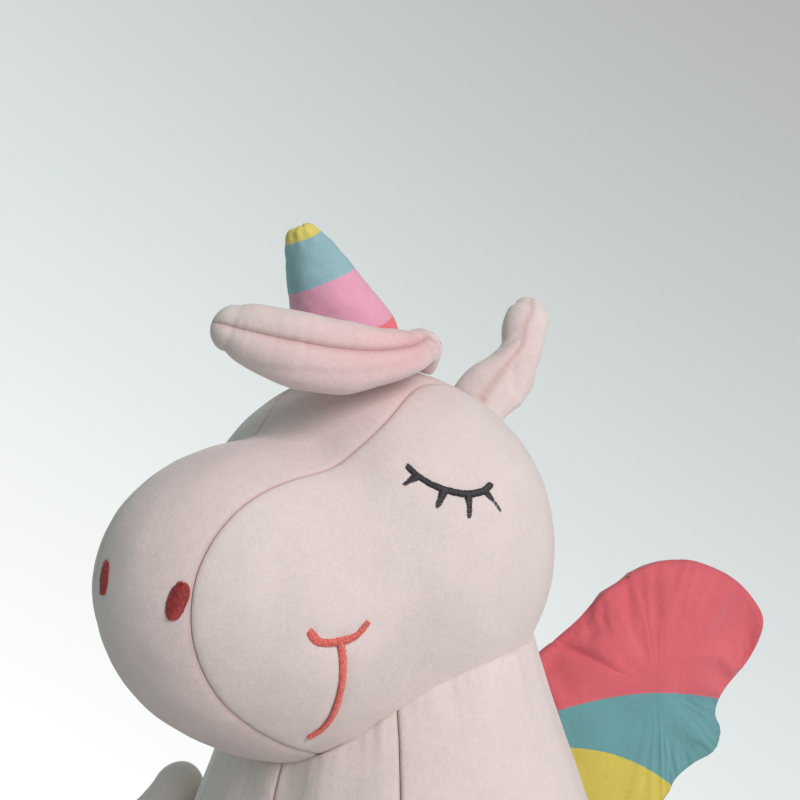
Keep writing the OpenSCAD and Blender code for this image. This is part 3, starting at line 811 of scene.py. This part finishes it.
def torso_panel(a0, a1, nodes):
    n = int((a1 - a0) / 1.0)
    a = np.linspace(a0 + 0.12, a1 - 0.12, n + 1)
    top = halved(np.full_like(a, 130.0), np.full_like(a, 225.0), lambda z: ~meets(torso_at(z, a, 1)))
    v = np.linspace(0, 1, 111) ** 0.85
    z = v[:, None] * (top - 0.2)[None]
    p = torso_at(z, np.broadcast_to(a, z.shape))
    out = unit(p * np.array([1.0, 1.0, 0.0]))
    r = length(p[..., :2])
    dist = np.min([np.abs(np.mod(a - s + 180, 360) - 180)[None] * np.pi / 180 * r for s in TORSO_SEAMS],
                  axis=0)
    lift = 0.4 - seam_dip(dist, z, 41)
    lift = lift + 0.9 * lumps(p, 60, 42) + 0.2 * lumps(p, 20, 43)
    below_rim = (top - 0.2)[None] - z
    hem = np.exp(-z / 3.0)
    around_mm = np.radians(a)[None] * 85 * np.ones_like(z)
    folds = 0.8 * np.exp(-below_rim / 34) * ripple(around_mm, 27, 44)
    folds = folds + 0.25 * np.exp(-below_rim / 12) * ripple(around_mm, 9, 45)
    lift = lift + np.minimum(folds, 1.2) - 1.0 * np.exp(-below_rim / 3.5)
    lift = lift * (1 - hem)
    rows = p + lift[..., None] * out
    # deep marks the panel seams, where the plush material paints shade
    deep = np.exp(-(dist / 0.9) ** 2)
    rows, deep, ways = turned_in(rows, deep, out, False, True, 3.0)
    cols = [np.swapaxes(x, 0, 1) for x in (rows, deep, ways)]
    rows, deep, ways = turned_in(*cols, True, True)
    m, k, _ = rows.shape
    piece = make(f"{nodes[0]}_plush", rows, grid_faces(m, k), {"seam": deep, "pink_shade": np.zeros((m, k))},
                 pale_plush, (0, 0, 100))
    dress(piece, "torso", nodes)


def closed_rings(name, rings, cloth, place=None):
    """A piece without seams or painted pink shade, from rings that are closed at both ends."""
    points, faces = capped(np.stack(rings))
    zeros = np.zeros(len(points))
    piece = make(name, place(points) if place else points, faces, {"seam": zeros, "pink_shade": zeros}, cloth)
    fix_fan(piece)
    return piece


def torso():
    torso_panel(-90, -90 + BELLY_HALF, ["belly_left", "torso_stuffing"])
    torso_panel(-90 - BELLY_HALF, -90, ["belly_right"])
    torso_panel(-90 + BELLY_HALF, 90, ["back_left"])
    torso_panel(90, 270 - BELLY_HALF, ["back_right"])
    a = np.linspace(0, 360, 181)[:-1]
    rows = []
    for share, rise in ((1.0, 2.0), (0.995, 0.6), (0.97, 0.1), (0.9, 0.0), (0.7, 0.0), (0.45, 0.0),
                        (0.2, 0.0)):
        ring = torso_at(np.zeros_like(a), a, 0.6) * share
        ring[:, 2] = rise + (0.25 * (1 - share) * (1 + lumps(ring, 25, 46)))
        rows.append(ring)
    dress(closed_rings("seat_panel_plush", rows, pale_plush), "torso", ["seat_panel"])
    # the cone of filling in its lining that carries the head
    a = np.linspace(0, 360, 97)[:-1]
    rows = []
    for z, r in ((127.3, 50), (127.6, 57), (129.5, 61), (134, 60.4), (141, 58), (148, 55.5), (154, 53),
                 (156.4, 50), (156.8, 40), (156.9, 20)):
        ring = np.stack([r * cosd(a), r * sind(a) - 8, np.full_like(a, z)], -1)
        ring[:, :2] += 0.4 * np.stack([cosd(a), sind(a)], -1) * lumps(ring, 15, 47)[:, None] * (130 < z < 155)
        rows.append(ring)
    dress(closed_rings("neck_lining_plush", rows, pale_plush), "neck", ["neck_stuffing"])


# ---------- wings ----------
WING_LINE = [[2, 118], [1, 160], [5, 192], [18, 204], [34, 216], [52, 232], [78, 245], [101, 249], [118, 246],
             [135, 238], [150, 224], [153, 211], [142, 193], [124, 176], [117, 164], [119, 154], [114, 143],
             [101, 137], [90, 130], [82, 121], [68, 111], [48, 104], [25, 105]]
WING_MID = np.array([76.0, 180.0])
WING_ROOT = np.array([24.5, 96.5])
WING_SWEEP = 45
WING_THICK = 19.0


def on_back(q, s):
    """From reach, depth and height of a wing to the row frame."""
    c, w = cosd(WING_SWEEP), sind(WING_SWEEP)
    x = s * (c * q[..., 0] + w * q[..., 1] + WING_ROOT[0])
    y = w * q[..., 0] - c * q[..., 1] + WING_ROOT[1]
    return np.stack([x, y, q[..., 2]], -1)


def wing_band(reach, height):
    upper = 171.5 + 5.5 * (1 - ((reach - 72) / 45.0) ** 2)
    lower = 149.5 - 0.0058 * np.maximum(reach - 20, 0) ** 2
    share = (height - lower) / (upper - lower)
    return np.clip(0.35 + 0.3 * share, 0.0, 0.999)


def wing_pillow():
    """A wing's front and back sheets as one closed pillow in its own plane, with its seam points."""
    outline = smooth_rows(WING_LINE + [WING_LINE[0]], 221)[:-1]
    n = len(outline)
    steps = np.concatenate([[0.02, 0.1], np.linspace(0.2, 1, 22)])
    front = []
    for s in steps:
        rise = 0.2 + (WING_THICK / 2 - 1.6) * max(0.0, 1 - s ** 2.6) ** 0.6 * 0.8
        flat = WING_MID + s * (outline - WING_MID)
        front.append(np.stack([flat[:, 0], np.full(n, rise), flat[:, 1]], -1))
    front = np.stack(front)
    back = front[:-1] * np.array([1, -1, 1])
    front[-1][:, 1] = 0
    points = np.concatenate([front.reshape(-1, 3), back.reshape(-1, 3)])
    m = len(steps)
    faces = grid_faces(m, n, True)
    faces.append(tuple(range(n))[::-1])
    base = m * n
    faces_back = grid_faces(m - 1, n, True, base)
    for c in range(n):
        d = (c + 1) % n
        faces_back.append((base + (m - 2) * n + c, base + (m - 2) * n + d, (m - 1) * n + d, (m - 1) * n + c))
    faces_back.append(tuple(range(base, base + n)))
    seam = set(range((m - 1) * n, m * n))
    return points, faces, [f[::-1] for f in faces_back], seam, m, n


# how far round its middle a wing's sheets move as one
CALM = 30.0
# the wing seen is this much narrower than the CAD's; the simulation pins the seam
NARROWED = np.array([0.965, 1.0, 1.0])


def puffed(points, faces, seam, frames=20, cap=4.5):
    """Blows the pillow up with the cloth simulation, with its seam pinned."""
    piece = make("pillow", points, faces)
    fix_fan(piece)
    pins = piece.vertex_groups.new(name="pins")
    pins.add(sorted(seam), 1.0, "REPLACE")
    cloth = piece.modifiers.new("Cloth", "CLOTH")
    settings = cloth.settings
    settings.quality = 6
    settings.mass = 0.15
    settings.tension_stiffness = 12
    settings.compression_stiffness = 6
    settings.shear_stiffness = 4
    settings.bending_stiffness = 0.12
    settings.vertex_group_mass = "pins"
    settings.use_pressure = True
    settings.uniform_pressure_force = 4
    settings.shrink_min = -0.07
    settings.effector_weights.gravity = 0
    scene = bpy.context.scene
    for f in range(1, frames + 1):
        scene.frame_set(f)
    done = piece.evaluated_get(bpy.context.evaluated_depsgraph_get()).to_mesh()
    moved = np.array([v.co for v in done.vertices]) / MM
    scene.frame_set(1)
    bpy.data.objects.remove(piece)
    step = moved - points
    # the sheets' points crowd together in the middle, where they move as one
    side = np.sign(points[:, 1])
    near = np.exp(-(length(points[:, [0, 2]] - WING_MID) / CALM) ** 2)
    for s in (-1, 1):
        pick = side == s
        calm = (step[pick] * near[pick, None]).sum(0) / near[pick].sum()
        step[pick] = step[pick] * (1 - near[pick, None]) + calm * near[pick, None]
    far = length(step)
    return points + step * np.minimum(1, cap / np.maximum(far, 1e-6))[:, None]


def wings():
    points, front_faces, back_faces, seam, m, n = wing_pillow()
    points = puffed(points, front_faces + back_faces, seam)
    base = m * n
    rim = near_line(points[:, [0, 2]], WING_LINE + [WING_LINE[0]])
    run = np.arctan2(points[:, 2] - WING_MID[1], points[:, 0] - WING_MID[0]) * 80
    pucker = 0.5 * np.exp(-rim / 7) * (1 - np.exp(-rim / 1.5)) * ripple(run, 7.5, 51)
    soft = 0.5 * lumps(points, 30, 52)
    sign = np.where(np.arange(len(points)) < base, 1, -1)
    sign[list(seam)] = 0
    points = points + np.array([0, 1.0, 0]) * (sign * (pucker + soft * (1 - np.exp(-rim / 9))))[:, None]
    points = points * NARROWED
    for side, s in SIDES.items():
        for name, faces in (("front", front_faces), ("back", back_faces)):
            used = sorted(set(i for f in faces for i in f))
            index = {v: k for k, v in enumerate(used)}
            own = points[used]
            if name == "back":
                own = own + np.where(np.isin(used, list(seam)), -0.25, 0.0)[:, None] * np.array([0, 1.0, 0])
            band = wing_band(own[:, 0], own[:, 2])
            # sewn marks the wing's rim seam, where the plush material paints shade
            sewn = np.exp(-(rim[used] / 1.2) ** 2) * 0.6
            own_faces = [tuple(index[i] for i in f) for f in faces]
            piece = make(f"wing_{side}_{name}_plush", on_back(own, s), own_faces,
                         {"band": band, "seam": sewn}, wing_plush)
            fix_fan(piece)
            towards = on_back(np.array([0, 1.0, 0]), s) - on_back(np.array([0, 0.0, 0]), s)
            mean = sum((np.array(f.normal) * f.area for f in piece.data.polygons), np.zeros(3))
            if mean @ towards * (1 if name == "front" else -1) < 0:
                piece.data.flip_normals()
            nodes = [f"wing_{side}_{name}"] + ([f"wing_{side}_padding"] if name == "front" else [])
            dress(piece, f"wing_{side}", nodes)


# ---------- limbs ----------
LIMBS = {
    "arm": dict(at=[97, -42, 138], to=[0.57, -0.19, -0.8], len=92.0, r0=12.0, r1=26.0),
    "leg": dict(at=[66, -114, 38.4], to=[0.34, -0.94, 0.0], len=112.0, r0=27.0, r1=37.0)}
HOOF_PART = 0.74
EDGE = 10.0


def limb_profile(spec, count=150):
    """Radius and height along a limb, from the ball at its root to the edge of its sole."""
    a = np.linspace(2, 90, 40)
    root = np.stack([spec["r0"] * sind(a), -spec["r0"] * cosd(a)], -1)
    z = np.linspace(0.5, spec["len"] - EDGE, count)
    u = z / spec["len"]
    side = np.stack([spec["r0"] + (spec["r1"] - spec["r0"]) * u * u * (3 - 2 * u), z], -1)
    b = np.linspace(3, 70, 26)
    end = np.stack([spec["r1"] - EDGE + EDGE * cosd(b), spec["len"] - EDGE + EDGE * sind(b)], -1)
    return np.concatenate([root, side, end])


def limb(kind, side):
    spec, s = LIMBS[kind], SIDES[side]
    to = unit(np.array(spec["to"]) * np.array([s, 1, 1]))
    x = unit(np.cross([0, 0, 1.0], to))
    y = np.cross(to, x)
    at = np.array(spec["at"]) * np.array([s, 1, 1])
    around = 120
    turn = np.linspace(0, 2 * np.pi, around, endpoint=False)
    profile = limb_profile(spec)
    seam_z = spec["len"] * HOOF_PART
    rows, deep = [], []
    for r, z in profile:
        ring = np.stack([r * np.cos(turn), r * np.sin(turn), np.full(around, z)], -1)
        to_seam = abs(z - seam_z)
        strong = min(1.0, max(0.0, r / 12))
        lift = 0.3 - seam_dip(np.full(around, to_seam), turn * r, 61)
        lift = lift + strong * (0.7 * lumps(ring + 40 * s, 34, 62) + 0.15 * lumps(ring, 11, 63))
        long_seam = np.abs(np.mod(turn + np.pi / 2 + np.pi, 2 * np.pi) - np.pi) * r
        lift = lift - 0.8 * np.exp(-(long_seam / 1.6) ** 1.2) * strong
        last = max(0.0, (z - (spec["len"] - EDGE)) / EDGE)
        lift = lift + 0.35 * last * ripple(turn * r, 6, 64)
        out = np.stack([np.cos(turn), np.sin(turn), np.zeros(around)], -1)
        rows.append(ring + np.minimum(lift, 0.9)[:, None] * out)
        # deep marks the hoof seam, where the plush material paints shade
        deep.append(np.full(around, math.exp(-(to_seam / 0.9) ** 2)))
    rows, deep = np.stack(rows), np.stack(deep)
    cut = int(np.searchsorted(profile[:, 1], seam_z))
    inward = -unit(rows * np.array([1.0, 1.0, 0.0]))

    def seat(p):
        p = at + p[..., :1] * x + p[..., 1:2] * y + p[..., 2:] * to
        p[..., 2] = np.maximum(p[..., 2], 0.6 + 0.15 * (p[..., 2] - 0.6))
        return p

    def part(name, first, last, material, slot, nodes, close_root=False):
        own = rows[first:last]
        seams = deep[first:last]
        if not close_root:
            own = np.concatenate([(own[0] + 2.4 * inward[first])[None], own])
            seams = np.concatenate([seams[:1], seams])
        own = np.concatenate([own, (own[-1] + 2.4 * inward[last - 1])[None]])
        seams = np.concatenate([seams, seams[-1:]])
        m = len(own)
        points = own.reshape(-1, 3)
        faces = grid_faces(m, around, True)
        if close_root:
            points = np.concatenate([points, own[0].mean(0)[None]])
            faces += [(m * around, (c + 1) % around, c) for c in range(around)]
        seams = np.append(seams.ravel(), [0] * (len(points) - m * around))
        piece = make(name, seat(points), faces, {"seam": seams, "pink_shade": np.zeros(len(points))}, material)
        fix_fan(piece)
        return dress(piece, f"{kind}_{side}", nodes)

    base = f"{kind}_{side}"
    part(f"{base}_sleeve_plush", 0, cut, pale_plush, "pale_plush",
         [f"{base}_sleeve", f"{base}_stuffing"], True)
    part(f"{base}_hoof_plush", cut, len(rows), coral_plush, "coral_plush", [f"{base}_hoof"])
    edge_r = profile[-1][0] - 0.4
    top = profile[-1][1]
    discs = []
    for share, rise in ((1.0, -2.2), (0.995, -0.6), (0.95, 0.1), (0.85, 0.35), (0.6, 0.6), (0.3, 0.7),
                        (0.1, 0.7)):
        ring = np.stack([share * edge_r * np.cos(turn), share * edge_r * np.sin(turn),
                         np.full(around, top + rise)], -1)
        ring[:, 2] += 0.25 * lumps(ring, 14, 65) * share + 0.25 * (share > 0.9) * ripple(turn * edge_r, 6, 66)
        discs.append(ring)
    dress(closed_rings(f"{base}_sole_plush", discs, coral_plush, seat), base,
          [f"{base}_sole"])


# ---------- tail ----------
TAIL_PATH = [[0, 109, 52], [0, 113.5, 53], [0, 121, 55], [0, 134, 55], [0, 148, 50], [0, 160, 42],
             [0, 169, 33], [0, 174, 27]]
TAIL_SIZE = [[6], [11], [15], [17.5], [19], [18.5], [15], [7]]


def tail():
    along, around = 110, 112
    path = smooth_rows(TAIL_PATH, along)
    size = smooth_rows(TAIL_SIZE, along)[:, 0]
    go = unit(np.gradient(path, axis=0))
    u = np.array([1.0, 0, 0])
    turn = np.linspace(0, 2 * np.pi, around, endpoint=False)
    rows, band = [], []
    for i in range(along):
        v = np.cross(go[i], u)
        out = np.cos(turn)[:, None] * u + np.sin(turn)[:, None] * v
        ring = path[i] + size[i] * out
        share = i / (along - 1)
        seam_at = np.minimum(np.abs(turn - np.pi / 2), np.abs(turn - 3 * np.pi / 2)) * size[i]
        lift = 0.5 * lumps(ring, 20, 71) + 0.15 * lumps(ring, 7, 72) - 0.8 * np.exp(-(seam_at / 1.5) ** 1.3)
        lift = lift + 0.6 * math.exp(-share * 12) * np.cos(11 * turn)
        rows.append(ring + np.minimum(lift, 0.6)[:, None] * out)
        band.append(share + 0.012 * np.cos(2 * turn))
    points, faces = capped(np.stack(rows))
    band = np.clip(np.append(np.stack(band).ravel(), [0, 0.99]), 0, 0.999)
    piece = make("tail_plush_cover", points, faces, {"band": band, "seam": np.zeros(len(points))}, tail_plush)
    fix_fan(piece)
    dress(piece, "tail", ["tail_cover", "tail_stuffing"])


# ---------- everything ----------
dress(head_gusset(), "head", ["head_gusset", "head_stuffing"])
for side_name, side_sign in SIDES.items():
    dress(head_side(side_name), "head", [f"head_side_{side_name}"])
    flip = FLIP if side_sign < 0 else np.ones(3)
    eye_strokes = [(np.array(EYE_ARC) * flip, 2.7)]
    for start, end in EYE_LASHES:
        eye_strokes.append((np.linspace(np.array(start) * flip, np.array(end) * flip, 4), 3.3))
    stitched(f"eye_{side_name}_stitches", eye_strokes, black_thread, 80 + side_sign,
             f"eye_{side_name}")
    mouth_strokes = [(np.array(MOUTH_TICK) * flip, 2.5), (np.array(MOUTH_LINE) * flip, 2.4)]
    stitched(f"mouth_{side_name}_stitches", mouth_strokes, coral_thread, 90 + side_sign,
             f"mouth_{side_name}")
    ear(side_name)
    limb("arm", side_name)
    limb("leg", side_name)
nostril("nostril_left_stitches", [25, -127.5, -49], [0.15, -0.1, 1], 6.2, 3.1, "nostril_left", 95)
nostril("nostril_right_stitches", [-5.5, -136, -50], [-0.05, -0.1, 1], 5.6, 2.9, "nostril_right", 96)
horn()
torso()
wings()
tail()


# ---------- floor, light and camera ----------
def plain_material(name, tint, rough):
    material, nodes, _ = new_material(name)
    shader = nodes["Principled BSDF"]
    shader.inputs["Roughness"].default_value = rough
    shader.inputs["Base Color"].default_value = (*tint, 1)
    return material


FLOOR_R = 560
FLOOR_TINT = (0.80, 0.84, 0.84)
ring = np.linspace(0, 2 * np.pi, 96, endpoint=False)
floor_points = np.stack([FLOOR_R * np.cos(ring), FLOOR_R * np.sin(ring), np.full(96, -0.3)], -1)
floor = make("floor", floor_points, [tuple(range(96))], None,
             plain_material("floor_paint", FLOOR_TINT, 0.6))

world = bpy.data.worlds.new("studio")
bpy.context.scene.world = world
world.use_nodes = True
sky = world.node_tree
toward = sky.nodes.new("ShaderNodeTexCoord")
lean_node = sky.nodes.new("ShaderNodeVectorMath")
lean_node.operation = "DOT_PRODUCT"
# the wall is brighter and cooler low down on the window's side, greyer up and away from it
lean_node.inputs[1].default_value = (-0.32, -0.11, -0.47)
sky.links.new(toward.outputs["Generated"], lean_node.inputs[0])
sky_map = sky.nodes.new("ShaderNodeMapRange")
sky_map.inputs["From Min"].default_value = -0.36
sky_map.inputs["From Max"].default_value = 0.36
sky.links.new(lean_node.outputs["Value"], sky_map.inputs["Value"])
sky_ramp = sky.nodes.new("ShaderNodeValToRGB")
sky_ramp.color_ramp.elements[0].color = (0.415, 0.425, 0.41, 1)
sky_ramp.color_ramp.elements[1].color = (1.0, 1.0, 1.0, 1)
sky_ramp.color_ramp.elements.new(0.5).color = (0.67, 0.72, 0.71, 1)
sky.links.new(sky_map.outputs["Result"], sky_ramp.inputs["Fac"])
seen = sky.nodes["Background"]
sky.links.new(sky_ramp.outputs["Color"], seen.inputs["Color"])
seen.inputs["Strength"].default_value = 1.06
# what lights the toy is dimmer than the wall that is seen
ambient = sky.nodes.new("ShaderNodeBackground")
ambient.inputs["Color"].default_value = (0.82, 1.0, 0.965, 1)
ambient.inputs["Strength"].default_value = 0.36
ray = sky.nodes.new("ShaderNodeLightPath")
choose = sky.nodes.new("ShaderNodeMixShader")
sky.links.new(ray.outputs["Is Camera Ray"], choose.inputs["Fac"])
sky.links.new(ambient.outputs["Background"], choose.inputs[1])
sky.links.new(seen.outputs["Background"], choose.inputs[2])
sky.links.new(choose.outputs["Shader"], sky.nodes["World Output"].inputs["Surface"])


def area_light(name, place, target, size, power, tint):
    light = bpy.data.lights.new(name, "AREA")
    light.shape = "DISK"
    light.size = size
    light.energy = power
    light.color = tint
    lamp = bpy.data.objects.new(name, light)
    bpy.context.scene.collection.objects.link(lamp)
    lamp.location = place
    direction = Vector(target) - Vector(place)
    lamp.rotation_euler = direction.to_track_quat("-Z", "Y").to_euler()
    return lamp


area_light("room_light", (1.5, -0.35, 0.85), (0.0, -0.03, 0.22), 1.0, 20, (1.0, 0.89, 0.92))
area_light("window_light", (-0.95, 0.85, 0.55), (0.0, 0.0, 0.25), 1.1, 6, (0.80, 0.98, 1.0))

CAMERA_AT = (0.2439, -0.3238, 0.2435)
CAMERA_TURN, CAMERA_LIFT = 36.0, 12.0
camera_data = bpy.data.cameras.new("camera")
camera_data.lens = 36
camera_data.sensor_width = 36
camera_data.clip_start = 0.01
camera = bpy.data.objects.new("camera", camera_data)
bpy.context.scene.collection.objects.link(camera)
camera.location = CAMERA_AT
camera.rotation_euler = (math.radians(90 + CAMERA_LIFT), 0, math.radians(CAMERA_TURN))
bpy.context.scene.camera = camera
bpy.context.scene.view_settings.view_transform = "Standard"
